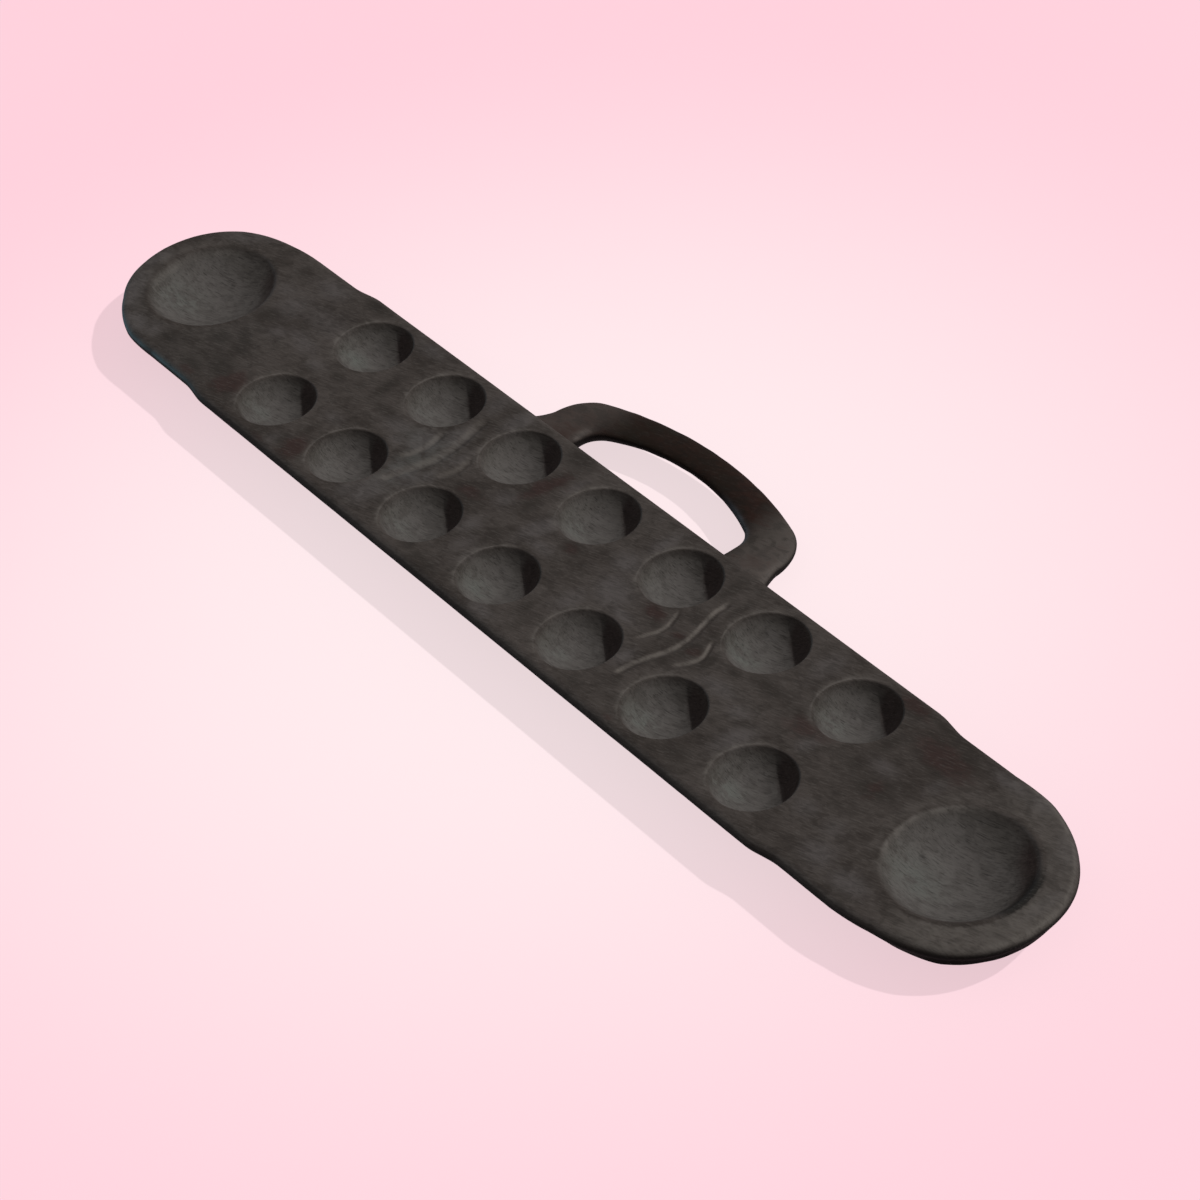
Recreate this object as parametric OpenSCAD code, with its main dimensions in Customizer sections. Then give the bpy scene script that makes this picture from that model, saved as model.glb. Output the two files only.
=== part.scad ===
// Sungka board: a carved plank with two rows of houses, a head at each end and
// incised strokes between the houses, carried by a bow handle on its back edge.
// The origin is the middle of the flat underside, +X runs to the right-hand head,
// +Y to the handle and +Z up. All sizes are in millimetres.

/* [Board] */
// Length over the two rounded ends
board_l = 828; // [800:2:880]
// Width across the straight middle
board_w = 138.6; // [136:0.2:148]
// Width across the narrower end lobes
end_w = 132; // [126:1:136]
// Thickness from the flat underside to the top face
board_t = 28; // [26:0.5:34]
// Length of each rounded end
end_reach = 88; // [76:1:92]
// Fullness of the end curve, where 2 gives an ellipse
end_full = 2.2; // [2:0.1:3]
// Distance from the last house of a row to the shoulder
shoulder_gap = 46; // [40:1:56]
// Length over which the shoulder narrows the board
shoulder_run = 24; // [8:1:32]
// Radius of the rounded edge
edge_r = 4.6; // [4:0.1:7]
// Slope of the undercut flank, measured from level
flank_slope = 40; // [34:1:46]
// Radius that joins the flank to the flat underside
bilge_r = 18; // [8:1:24]

/* [Houses and heads] */
// Houses in each row
houses = 7; // [5:1:7]
// Distance between neighbouring houses of a row
pitch = 76; // [70:0.5:78]
// Distance between the centre lines of the two rows
row_gap = 73.8; // [68:0.2:76]
// Distance of the houses off the middle of the board, as cut by hand
houses_off = 4; // [-6:0.5:6]
// Mouth diameter of a house
house_d = 51.4; // [44:0.2:53]
// Depth of a house
house_depth = 16; // [12:0.5:18]
// Radius of a house's worn rim
house_rim = 1.2; // [0.6:0.1:2.5]
// Mouth diameter of a head
head_d = 87; // [78:0.5:92]
// Depth of a head
head_depth = 18; // [13:0.5:20]
// Radius of a head's worn rim
head_rim = 4; // [2:0.25:6]
// Distance from the end of the board to the centre of its head
head_in = 61; // [58:0.5:66]

/* [Incised strokes] */
// Length of the long middle stroke
long_stroke = 78; // [60:1:90]
// Length of the two short strokes beside it
short_stroke = 31; // [20:1:45]
// How far a long stroke bows out
long_bow = 7; // [4:0.5:10]
// How far a short stroke bows out
short_bow = 4.6; // [2.5:0.1:7]
// Distance between neighbouring strokes
stroke_gap = 16; // [10:0.5:19]
// How far the strokes lie to the right of the middle between two houses
strokes_off = 1.5; // [0:0.5:4]
// Width of a stroke at the top face
stroke_w = 3.6; // [2.4:0.1:4.5]
// Depth of a stroke
stroke_depth = 1; // [0.6:0.1:1.5]

/* [Handle] */
// Span over the outer sides of the feet at the board
handle_span = 223; // [210:1:230]
// Distance of the handle off the middle of the board, as fitted by hand
handle_off = 0; // [-4:0.2:4]
// Reach of the bow beyond the back edge of the board
handle_reach = 60; // [54:0.5:66]
// How far the top of the bow leans to the right
bow_lean = 4; // [0:0.5:8]
// Width of each foot at the board
foot_w = 40.5; // [35:0.5:42]
// How far a foot's outer side draws in before the corner
foot_flare = 8; // [0:0.5:9]
// How far beyond the board the feet keep their full height
foot_run = 10; // [6:1:14]
// Width of the bow at its middle
bow_w = 21; // [18:0.5:24]
// Height of the bow's section at its middle
bow_t = 11; // [10:0.5:15]
// Height of the bow's section at the feet
foot_t = 17; // [16:0.5:18]
// Depth of the bow's top face below the board's
bow_drop = 7.6; // [6:0.2:9]
// Distance of the bow's widest line below its top face
bow_shoulder = 4.5; // [3:0.25:6]
// Radius of the bow's outer arch
outer_arch_r = 250; // [220:5:300]
// Radius of the two outer corners
outer_corner_r = 30; // [22:1:32]
// Radius of the bow's inner arch
inner_arch_r = 150; // [130:5:200]
// Radius of the two inner corners
inner_corner_r = 14; // [8:1:16]
// How far each foot reaches under the board's flank
foot_lap = 18; // [16:0.5:20]
// Play left for glue between a foot and the flank
glue_line = 0.1; // [0.05:0.05:0.3]

/* [Dowels] */
// Diameter of a dowel
dowel_d = 6; // [5:0.5:6.5]
// Distance between the two dowels of a foot
dowel_gap = 16; // [13:0.5:18]
// Height of the dowels above the underside
dowel_z = 9.8; // [9:0.1:10.5]
// Length of a dowel inside the board
dowel_in_board = 8.5; // [6:0.5:8.5]
// Length of a dowel inside the foot
dowel_in_foot = 21; // [14:0.5:24]
// Radial play of a dowel in its hole
dowel_play = 0.05; // [0.02:0.01:0.15]
// Room for glue past each end of a dowel
glue_room = 0.8; // [0.4:0.1:1.2]

/* [Hidden] */
wood = [0.24, 0.21, 0.19];
bow_wood = [0.27, 0.19, 0.16];
peg_wood = [0.72, 0.58, 0.4];

// Points along half the end curve, the shoulder, and the arcs of the edge section
end_steps = 44;
shoulder_steps = 8;
edge_steps = 8;
bilge_steps = 4;
// Points along the hollow and the rim of a bowl, and the radius of the flat at its bottom
hollow_steps = 14;
rim_steps = 4;
hollow_flat = 0.8;
// Share by which a stroke's tool runs on past its ends, clear of the wood
stroke_run_out = 1.15;
// Sections along a foot's flare, a corner and half the arch of the bow, and points round each
flare_steps = 4;
corner_steps = 9;
arch_steps = 7;
section_steps = 28;
// Bend of a foot's flare, where 1 is straight
flare_n = 1.4;
// Squareness of the bow's section above and below its widest line
bow_top_n = 2.6;
bow_under_n = 1.8;
// How far cutters pass through a face
past = 2;

half_l = board_l / 2;
half_w = board_w / 2;
shoulder_x = (houses - 1) / 2 * pitch + shoulder_gap;
head_x = half_l - head_in;

// Section of the edge: inset from the outline and height, from the underside up
nose_a = 90 - flank_slope;
nose_in = edge_r * (1 - cos(nose_a));
nose_z = board_t - edge_r - edge_r * sin(nose_a);
bilge_z = bilge_r * (1 - cos(flank_slope));
bilge_in = nose_in + (nose_z - bilge_z) / tan(flank_slope);
base_in = bilge_in + bilge_r * sin(flank_slope);
edge_section = concat(
    [for (i = [0:bilge_steps]) let (a = flank_slope * i / bilge_steps)
        [base_in - bilge_r * sin(a), bilge_r * (1 - cos(a))]],
    [for (i = [0:edge_steps]) let (a = -nose_a + (90 + nose_a) * i / edge_steps)
        [edge_r * (1 - cos(a)), board_t - edge_r + edge_r * sin(a)]]);

// Handle: outer and inner arcs of the bow, seen from above
bow_z = board_t - bow_drop;
bow_mid_z = bow_z - bow_shoulder;
outer_x = handle_span / 2;
inner_x = outer_x - foot_w;
corner_x = outer_x - foot_flare;
outer_top = half_w + handle_reach;
inner_top = outer_top - bow_w;
foot_x = outer_x - foot_w / 2;

// A corner arc is tangent to the foot's side and to the arch: centre, radius, tangent angle.
// x runs from the handle's own middle out to the foot of the given side, -1 left or 1 right.
function corner(side, x, top, arch_r, r) =
    let (dx = x - r - side * bow_lean, dy = sqrt(pow(arch_r - r, 2) - pow(dx, 2)))
    [[x - r, top - arch_r + dy], r, atan2(dy, dx)];
function on_circle(c, r, a) = c + r * [cos(a), sin(a)];

function smooth_step(t) = let (u = min(1, max(0, t))) u * u * (3 - 2 * u);
function round_power(v, n) = sign(v) * pow(abs(v), 2 / n);

// Outline of the board, drawn in by an inset, counter-clockwise from the front right
function side_y(x) = half_w + (end_w / 2 - half_w)
    * smooth_step((abs(x) - shoulder_x) / shoulder_run + 0.5);
function end_curve(inset) = [for (i = [0:end_steps]) let (a = -90 + 180 * i / end_steps)
    [half_l - end_reach + (end_reach - inset) * round_power(cos(a), end_full),
     (end_w / 2 - inset) * round_power(sin(a), end_full)]];
shoulder_xs = [for (i = [0:shoulder_steps])
    shoulder_x + shoulder_run * (0.5 - i / shoulder_steps)];
side_xs = concat(shoulder_xs, [for (i = [shoulder_steps:-1:0]) -shoulder_xs[i]]);
function outline(inset) = concat(
    end_curve(inset),
    [for (x = side_xs) [x, side_y(x) - inset]],
    [for (p = end_curve(inset)) -p],
    [for (x = side_xs) [-x, inset - side_y(x)]]);

// Skin through equal rings of points, each ring counter-clockwise seen from its far side
module loft(rings) {
    n = len(rings[0]);
    last = len(rings) - 1;
    polyhedron(
        points = [for (ring = rings) each ring],
        faces = concat(
            [[for (i = [0:n - 1]) i]],
            [[for (i = [n - 1:-1:0]) last * n + i]],
            [for (k = [0:last - 1], i = [0:n - 1]) let (j = (i + 1) % n)
                each [[k * n + i, (k + 1) * n + i, (k + 1) * n + j],
                      [k * n + i, (k + 1) * n + j, k * n + j]]]));
}

// Outer form of the plank, run past both flat faces and trimmed there
module plank() {
    sections = concat([[base_in, -past]], edge_section, [[edge_r, board_t + past]]);
    intersection() {
        loft([for (s = sections) [for (p = outline(s[0])) [p[0], p[1], s[1]]]]);
        translate([-board_l, -board_w, 0])
            cube([2 * board_l, 2 * board_w, board_t]);
    }
}

// Cutter for a carved bowl: a spherical hollow that rolls over a round rim on the top face
module bowl(mouth_d, depth, rim) {
    a = mouth_d / 2;
    r = (a * a + depth * depth - 2 * rim * depth) / (2 * depth);
    centre_z = r - depth;
    meet = atan2(a, rim + centre_z);
    rotate_extrude($fn = 96)
        polygon(concat(
            [[0, -depth], [hollow_flat, -depth]],
            [for (i = [1:hollow_steps]) let (t = meet * i / hollow_steps)
                [r * sin(t), centre_z - r * cos(t)]],
            [for (i = [1:rim_steps]) let (t = meet * (1 - i / rim_steps))
                [a - rim * sin(t), rim * cos(t) - rim]],
            [[a, past], [0, past]]));
}

// Cutter for one incised stroke along Y: a gouge that dips in, bows towards +X and rises out
module stroke(length, bow) {
    sag = norm([bow, stroke_depth]);
    arc_r = (length * length / 4 + sag * sag) / (2 * sag);
    arc_a = 2 * asin(length / 2 / arc_r) * stroke_run_out;
    gouge_r = (stroke_w * stroke_w / 4 + stroke_depth * stroke_depth) / (2 * stroke_depth);
    translate([-bow / 2, 0, gouge_r])
        rotate([0, atan2(stroke_depth, bow), 0])
            translate([sag - arc_r, 0, 0])
                rotate([0, 0, -arc_a / 2])
                    rotate_extrude(angle = arc_a, $fn = 96)
                        translate([arc_r, 0])
                            circle(r = gouge_r, $fn = 32);
}

// Holes for the four dowels, bored level through the joint between feet and flank
module dowel_at(side, place) {
    seat = half_w - nose_in - (nose_z - dowel_z) / tan(flank_slope);
    translate([handle_off + side * (foot_x + place * dowel_gap / 2), seat, dowel_z])
        rotate([-90, 0, 0])
            children();
}

module dowel_hole() {
    translate([0, 0, -dowel_in_board - glue_room])
        cylinder(h = dowel_in_board + dowel_in_foot + 2 * glue_room,
                 r = dowel_d / 2 + dowel_play, $fn = 48);
}

module dowel(side, place) {
    color(peg_wood)
        dowel_at(side, place)
            translate([0, 0, -dowel_in_board])
                cylinder(h = dowel_in_board + dowel_in_foot, r = dowel_d / 2, $fn = 48);
}

module all_dowel_holes() {
    for (side = [-1, 1], place = [-1, 1])
        dowel_at(side, place)
            dowel_hole();
}

module board() {
    color(wood)
        difference() {
            plank();
            for (row = [-1, 1], i = [0:houses - 1])
                translate([houses_off + (i - (houses - 1) / 2) * pitch, row * row_gap / 2, board_t])
                    bowl(house_d, house_depth, house_rim);
            for (end = [-1, 1])
                translate([end * head_x, 0, board_t])
                    bowl(head_d, head_depth, head_rim);
            for (group = [-1, 1])
                translate([houses_off + group * 1.5 * pitch + strokes_off, 0, board_t]) {
                    stroke(long_stroke, long_bow);
                    for (side = [-1, 1])
                        translate([side * stroke_gap, 0, 0])
                            stroke(short_stroke, short_bow);
                }
            all_dowel_holes();
        }
}

// Pairs of outer and inner points along half the bow, from the foot of a side to the top:
// under the board, up the flare, round the corner and along the arch
function arch_point(side, top, arch_r, from, t) =
    on_circle([side * bow_lean, top - arch_r], arch_r, from + (90 - from) * t);
function half_bow(side) =
    let (outer = corner(side, corner_x, outer_top, outer_arch_r, outer_corner_r),
         inner = corner(side, inner_x, inner_top, inner_arch_r, inner_corner_r))
    concat(
        [[[outer_x, half_w - foot_lap], [inner_x, half_w - foot_lap]]],
        [for (i = [0:flare_steps - 1]) let (t = i / flare_steps)
            [[corner_x + foot_flare * pow(1 - t, flare_n), half_w + (outer[0][1] - half_w) * t],
             [inner_x, half_w + (inner[0][1] - half_w) * t]]],
        [for (i = [0:corner_steps]) let (t = i / corner_steps)
            [on_circle(outer[0], outer[1], outer[2] * t),
             on_circle(inner[0], inner[1], inner[2] * t)]],
        [for (i = [1:arch_steps]) let (t = i / arch_steps)
            [arch_point(side, outer_top, outer_arch_r, outer[2], t),
             arch_point(side, inner_top, inner_arch_r, inner[2], t)]]);
function placed(side, pair) = [for (p = pair) [handle_off + side * p[0], p[1]]];
right_bow = half_bow(1);
left_bow = half_bow(-1);
bow_pairs = concat(
    [for (pair = right_bow) placed(1, pair)],
    [for (i = [len(left_bow) - 2:-1:0]) placed(-1, left_bow[i])]);

// Section of the bow between an outer and an inner point: flat on top, round below,
// and growing from the bow's height to the feet's as it nears the board
function bow_section(pair) =
    let (near = smooth_step((inner_top - pair[1][1]) / (inner_top - half_w - foot_run)),
         under = bow_t + (foot_t - bow_t) * near - bow_shoulder)
    [for (i = [0:section_steps - 1])
        let (a = 360 * (1 - i / section_steps),
             above = a <= 180,
             n = above ? bow_top_n : bow_under_n,
             across = (1 + round_power(cos(a), n)) / 2,
             p = pair[1] + (pair[0] - pair[1]) * across,
             rise = above ? bow_shoulder : under)
        [p[0], p[1], bow_mid_z + rise * round_power(sin(a), n)]];

// Straight bar with the board's middle section, grown by the glue line, that scribes the feet
module flank_bar() {
    section = [for (s = edge_section) [half_w - s[0] + glue_line, s[1]]];
    translate([handle_off, 0, 0])
        rotate([90, 0, 90])
            linear_extrude(height = handle_span + 2 * past, center = true)
                polygon(concat([[0, 0]], section, [[0, board_t]]));
}

module handle() {
    color(bow_wood)
        difference() {
            loft([for (pair = bow_pairs) bow_section(pair)]);
            flank_bar();
            all_dowel_holes();
        }
}

board();
handle();
dowel(-1, 1);  // dowel_left_outer
dowel(-1, -1);  // dowel_left_inner
dowel(1, -1);  // dowel_right_inner
dowel(1, 1);  // dowel_right_outer
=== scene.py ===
"""Looks of the sungka board: the carved plank, its bow handle and the hidden dowels.

The plank and the handle are worked out again here with a finer skin, on the frame's own sizes,
and stand for their plain solids. The dowels are the solids themselves with a wood of their own.
Shapes are worked out in millimetres and put into the meshes in metres.
"""

import math

import bpy
import numpy as np
from mathutils import Matrix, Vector
from mathutils.geometry import delaunay_2d_cdt


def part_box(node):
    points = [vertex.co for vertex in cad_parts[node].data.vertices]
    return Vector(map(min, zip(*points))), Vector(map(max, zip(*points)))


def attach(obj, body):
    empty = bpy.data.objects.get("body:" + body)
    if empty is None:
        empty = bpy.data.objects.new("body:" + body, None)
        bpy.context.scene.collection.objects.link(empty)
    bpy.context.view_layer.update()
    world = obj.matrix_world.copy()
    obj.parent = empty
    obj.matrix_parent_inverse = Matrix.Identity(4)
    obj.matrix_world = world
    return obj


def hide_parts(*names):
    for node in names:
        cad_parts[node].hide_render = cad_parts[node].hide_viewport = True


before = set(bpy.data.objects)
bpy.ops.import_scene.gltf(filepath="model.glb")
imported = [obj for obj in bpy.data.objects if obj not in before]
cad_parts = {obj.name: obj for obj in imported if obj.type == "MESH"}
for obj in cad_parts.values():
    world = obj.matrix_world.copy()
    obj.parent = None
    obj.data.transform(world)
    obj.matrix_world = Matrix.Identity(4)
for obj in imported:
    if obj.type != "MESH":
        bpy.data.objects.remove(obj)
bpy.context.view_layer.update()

MM = 0.001
BOARD_HIGH = np.array(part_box("board")[1]) / MM
HANDLE_HIGH = np.array(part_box("handle")[1]) / MM

# Plank, with the driving sizes of the solid
HALF_L, HALF_W, BOARD_T = BOARD_HIGH
END_W = 132  # width of the rounded ends
END_REACH = 88  # length of an end's curve
END_FULL = 2.2  # fullness of that curve: 2 is an ellipse, more is squarer
EDGE_R = 4.6  # rounding of the upper edge
FLANK_SLOPE = 40  # fall of the flank towards the underside, in degrees
BILGE_R = 18  # arc between the flank and the underside
PITCH = 76  # from house to house along the board
ROW_GAP = 73.8  # from the front row to the back row
HOUSES = 7  # in each row
HOUSES_OFF = 4  # how far the rows sit to the right
SHOULDER_X = (HOUSES - 1) / 2 * PITCH + 46  # middle of the step between the sides and an end
SHOULDER_RUN = 24  # length of that step

# Insets and heights at which the edge's round nose, its straight flank and its bilge meet
NOSE_A = 90 - FLANK_SLOPE
SLOPE = math.radians(FLANK_SLOPE)
NOSE_IN = EDGE_R * (1 - math.sin(SLOPE))
NOSE_Z = BOARD_T - EDGE_R - EDGE_R * math.cos(SLOPE)
BILGE_Z = BILGE_R * (1 - math.cos(SLOPE))
BILGE_IN = NOSE_IN + (NOSE_Z - BILGE_Z) / math.tan(SLOPE)
BASE_IN = BILGE_IN + BILGE_R * math.sin(SLOPE)

# Bowls: mouth radius, depth and rim radius of a house and of a head
HOUSE = (25.7, 16, 1.2)
HEAD = (43.5, 18, 4)
HEAD_X = HALF_L - 61
BOWL_MARGIN = 0.45  # level ring that belongs to a bowl's skin, round its mouth

# Strokes: x at the ends, how far it bows, y of its middle, half length, half length of the bow,
# width of the lit wall, width of the other wall, depth and the strength of the painted highlight on
# the lit wall
STROKES = (
    (116.3, 7.5, 2.0, 43, 36, 2.8, 3.6, 1.0, 1.0),
    (101.9, 4.9, 2.7, 17, 18, 2.4, 3.0, 0.8, 0.85),
    (134.3, 6.0, 1.7, 16, 17, 2.4, 3.0, 1.0, 0.9),
    (-113.3, 7.8, 3.7, 41, 42, 6.5, 3.6, 0.9, 0.5),
    (-123.4, 4.0, 1.7, 17.5, 20, 4.6, 3.2, 0.8, 0.5),
    (-92.5, 4.2, 2.9, 15, 18, 4.5, 3.6, 0.7, 0.5),
)

# Places where the stain has its own tone: x, y, half length, half width, turn in degrees, strength
RED = (
    (290, 46, 22, 9, -6, 1.1), (250, 62, 13, 5, -4, 1.0), (224, 8, 15, 8, 20, 0.7),
    (283, 4, 4, 9, 10, 0.7), (-259, -49, 12, 9, 60, 1.3), (-290, -60, 7, 4, 0, 0.8),
    (-178, -55, 8, 10, 10, 1.3), (-204, -66, 8, 3, 0, 0.7), (-68, -4, 11, 5, 0, 0.9),
    (-40, 30, 6, 17, -8, 1.1), (117, 5, 5, 3, 20, 1.0), (133, 3, 5, 3.2, 20, 1.0),
    (92, 8, 9, 5, -10, 0.9), (140, -64, 5, 3, 0, 0.6), (15, 8, 6, 4, 0, 0.8),
)
BROWN = (
    (302, 51, 9, 7, 0, 1.0), (288, 38, 16, 6, -10, 0.9), (250, 60, 13, 8, 0, 1.0),
    (286, 62, 14, 4, 0, 0.9), (262, 34, 6, 11, 0, 0.8), (283, 4, 17, 9, 10, 0.9),
    (262, 9, 9, 8, 0, 0.7), (400, -20, 6, 9, -20, 0.7), (216, 14, 11, 5, 10, 1.0),
    (185, 14, 15, 5, 0, 0.9), (188, -56, 10, 7, 0, 0.9), (162, 8, 7, 4, 0, 0.8),
    (145, 3, 4, 8, 0, 1.2), (131, 3, 5, 8, 0, 1.1), (127, -14, 4, 7, 0, 0.7),
    (125, 42, 4, 12, 0, 0.8), (108, 51, 5, 13, 0, 0.8), (111, 22, 4, 6, 0, 0.6),
    (92, 7, 9, 5, -20, 1.0), (99, 2, 5, 5, 0, 0.7), (105, -61, 12, 4, 0, 0.6),
    (119, -45, 6, 10, 0, 0.5), (37, -42, 5, 8, 0, 0.7), (15, 8, 7, 5, 0, 1.1),
    (-45, 62, 11, 8, 0, 1.1), (-39, 38, 6, 16, -6, 0.9), (-33, 15, 5, 10, 20, 0.8),
    (-27, -17, 7, 5, 0, 0.8), (-70, -5, 15, 6, 0, 0.9), (-35, -63, 14, 6, 0, 1.1),
    (-56, -57, 7, 6, 0, 0.7), (-185, 20, 5, 16, 5, 0.9), (-166, 5, 14, 5, 0, 0.8),
    (-215, 3, 7, 5, 0, 0.8), (-185, -40, 5, 12, 0, 0.7), (-178, -59, 7, 9, 0, 1.1),
    (-199, 8, 5, 5, 0, 0.6), (-255, 63, 11, 6, 0, 1.0), (-281, 65, 8, 3, 0, 0.9),
    (-320, 51, 8, 6, 0, 0.7), (-300, 9, 12, 8, 40, 0.9), (-291, -16, 12, 5, -30, 0.9),
    (-303, -27, 9, 7, 20, 1.0), (-281, -25, 7, 4, 10, 0.9), (-276, -44, 13, 8, -10, 1.1),
    (-258, -54, 12, 10, 20, 1.1), (-189, -56, 7, 7, 0, 0.8), (-294, -56, 9, 6, 0, 1.0),
    (-328, -50, 8, 6, -30, 0.9), (-404, 22, 6, 10, 0, 0.5),
)
PALE = (
    (-268, 30, 26, 12, 0, 0.7), (-296, 24, 12, 14, 0, 0.9), (-281, 3, 9, 7, 0, 0.8),
    (-122, -56, 8, 9, 0, 0.9), (-122, 56, 8, 12, 0, 0.7), (-139, -6, 6, 5, 0, 0.9),
    (-97, -14, 6, 6, 0, 0.9), (-106, 4, 9, 7, 0, 0.6), (-33, -34, 8, 12, 0, 0.6),
    (-292, 52, 14, 9, 0, 0.9), (-262, 8, 18, 7, -10, 0.8), (-236, 0, 9, 6, 0, 0.7),
    (-313, 32, 12, 8, 0, 0.6), (-341, -53, 7, 8, 0, 0.7), (-388, -40, 22, 9, -46, 1.1),
    (-405, -10, 6, 14, 0, 0.9), (-356, -56, 14, 6, 0, 1.1), (-382, 45, 18, 7, 40, 0.8),
    (-195, 60, 14, 6, 0, 0.8), (-194, -60, 7, 7, 0, 0.8), (-184, -22, 9, 5, 0, 0.7),
    (-126, 4, 12, 10, 0, 1.3), (-114, 20, 8, 14, 0, 1.1), (-109, -22, 13, 9, 0, 1.2),
    (-113, -46, 10, 18, 0, 1.0), (-99, 56, 8, 14, 0, 1.1), (-96, 12, 5, 9, 0, 0.7),
    (-150, 2, 14, 7, 0, 0.9), (-48, 8, 8, 8, 0, 0.9), (-44, -22, 7, 10, 0, 0.8),
    (-23, -38, 5, 12, 0, 0.6), (-26, 44, 4, 11, 0, 0.8), (-12, 6, 7, 17, -10, 1.2),
    (2, -4, 11, 5, 0, 0.9), (51, 48, 6, 14, 0, 0.9), (48, 23, 10, 9, 0, 1.1),
    (62, 2, 15, 11, -20, 1.2), (80, -7, 10, 4, 0, 1.2), (50, -20, 8, 12, 0, 0.8),
    (20, -62, 12, 5, 0, 0.9), (108, -27, 6, 8, 0, 1.0), (194, 48, 8, 14, 0, 0.7),
    (202, -26, 8, 13, -10, 1.2), (188, -10, 9, 7, 0, 0.8), (232, 0, 6, 8, 0, 0.9),
    (165, -6, 14, 6, 10, 0.9), (268, -31, 9, 6, 0, 0.8), (274, 18, 12, 6, 0, 0.7),
    (304, 28, 5, 8, 0, 0.7), (298, -48, 11, 9, 0, 1.1), (325, -51, 13, 8, 0, 1.1),
    (330, 58, 16, 5, -5, 1.0), (350, 58, 9, 6, 0, 1.1), (384, 46, 18, 7, -45, 0.9),
    (404, 12, 5, 15, 0, 1.0), (290, -31, 8, 8, 0, 0.7),
)
COOL_LAND = (
    (-114, -10, 13, 28, 0, 0.8), (-132, 4, 12, 8, 0, 0.5),
)

# Strength of the cool painted highlight on the lit side of each hollow: front row, back row, left
# and right head
COOL_HIGHLIGHT = (0.6, 0.15, 0.5, 0.8, 0.5, 1.0, 0.8, 0.9, 0.3, 0.1, 0.7, 0.3, 1.0, 0.7, 0.8, 0.8)

# How far the hand-cut outline of each rounded end leaves the even curve, outwards, in mm,
# and how far the right end's flank is fuller, at these turns from -Y over the tip to +Y
END_TURNS = (-90, -72, -45, -15, 0, 15, 45, 72, 90)
END_LEFT = (0, 1.2, -2.2, -1.6, -0.4, 0, 1.3, -0.4, 0)
END_RIGHT = (0, -1.4, 1.2, 0.2, 0, 0, 0.3, 1.9, 0)
FULL_RIGHT = (0, 0.8, 4.6, 3.4, 2.5, 1.4, 0, 0, 0)

# Handle, with the driving sizes of the solid
OUTER_X = HANDLE_HIGH[0]
OUTER_TOP = HANDLE_HIGH[1]
BOW_LEAN = 4  # how far the arches' middles lie to the right
FOOT_W = 40.5  # width of a foot at the plank
FOOT_FLARE = 8  # how far a foot spreads outwards
FLARE_BEND = 1.4  # how hollow the spread is
FOOT_RUN = 10  # how far out of the plank a foot keeps its full height
BOW_W = 21  # width of the bow at its top
BOW_T = 11  # height of the bow's section
FOOT_T = 17  # height of a foot's section
BOW_SHOULDER = 4.5  # height of the section's upper part
BOW_Z = BOARD_T - 7.6  # level of the bow's upper face
OUTER_ARCH_R = 250
OUTER_CORNER_R = 30
INNER_ARCH_R = 150
INNER_CORNER_R = 14
FOOT_LAP = 18  # how far a foot reaches under the plank's side
GLUE_LINE = 0.1
TOP_FULL = 2.6  # squareness of the section above its widest line
UNDER_FULL = 1.8  # and below it

# Painted highlights on the bow's rounded edges, where the key lamp catches them, in the form of the
# stain's places
BOW_HIGHLIGHTS = ((-70, 79, 4.5, 9, 20, 1.0), (104, 86, 4, 11, 8, 0.6), (97, 75, 8, 3, 30, 0.4))

# Fineness of the skins. Points along the outline and down the edge:
END_POINTS = 73
SIDE_POINTS = 206
NOSE_STEPS = 12
FLANK_STEPS = 8
BILGE_STEPS = 6
# Spokes, points down the ball and points over the rim of a bowl:
BOWL_STEPS = {HOUSE: (112, 15, 6), HEAD: (160, 22, 9)}
# Distance in mm of the points on the land, on a stroke and on the underside:
LAND_STEP = 2.3
STROKE_STEP = 0.55
UNDER_STEP = 9
# Points along the bow's side line, half round its section and across a foot's end:
FOOT_POINTS, NECK_POINTS, CORNER_POINTS, ARCH_POINTS = 14, 11, 24, 30
HALF_SECTION = 24
CAP_POINTS = 9
# Points within the first of these, in mm, are one. Edges over the second, in degrees, stay sharp.
JOIN_WITHIN = 0.002
SHARP_FROM = 42

# Camera: its place in metres, its directions and its lens, worked out from the grid of the houses
CAMERA_AT = (1.303828, -0.813379, 1.326300)
CAMERA_RIGHT = (0.61274, 0.78397, -0.09969)
CAMERA_DOWN = (0.47623, -0.46697, -0.74508)
CAMERA_FORWARD = (-0.63067, 0.40907, -0.65948)
CAMERA_LENS = 104.64
SENSOR = 36

# Lamps: the key lamp's azimuth and height, its way in from the side for each mm of height,
# and the radius in metres of the dome that lamps stand on
KEY_AZIMUTH, KEY_ELEVATION = 57, 46
KEY_LEAN = (0.526, 0.81)
LAMP_DOME = 2.2

# Floor: half its width in metres, and its level just under the board, so that no faces meet
FLOOR_REACH = 12.0
FLOOR_LOW = -0.00005


def smooth_step(t):
    """Rises from 0 to 1 as t does, level at both ends."""
    u = np.clip(t, 0, 1)
    return u * u * (3 - 2 * u)


def band(value, middle, width):
    """1 where a value is at the middle, and a bell of the given width to both sides."""
    return np.exp(-(((value - middle) / width) ** 2))


def round_power(v, full):
    """A sine or cosine bent so that its circle becomes squarer as full rises above 2."""
    return np.sign(v) * np.abs(v) ** (2 / full)


def unevenness(p, length, seed):
    """Smooth hand-made unevenness from about -1 to 1.

    It is a sum of sines in seeded directions, whose waves are about length long.
    """
    count = 8
    rng = np.random.default_rng(seed)
    total = np.zeros(len(p))
    for _ in range(count):
        way = rng.normal(size=p.shape[1])
        way *= 2 * math.pi / (length * rng.uniform(0.7, 1.5) * np.linalg.norm(way))
        total += np.sin(p @ way + rng.uniform(0, 2 * math.pi))
    return np.clip(total * 1.4 / count, -1, 1)


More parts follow.
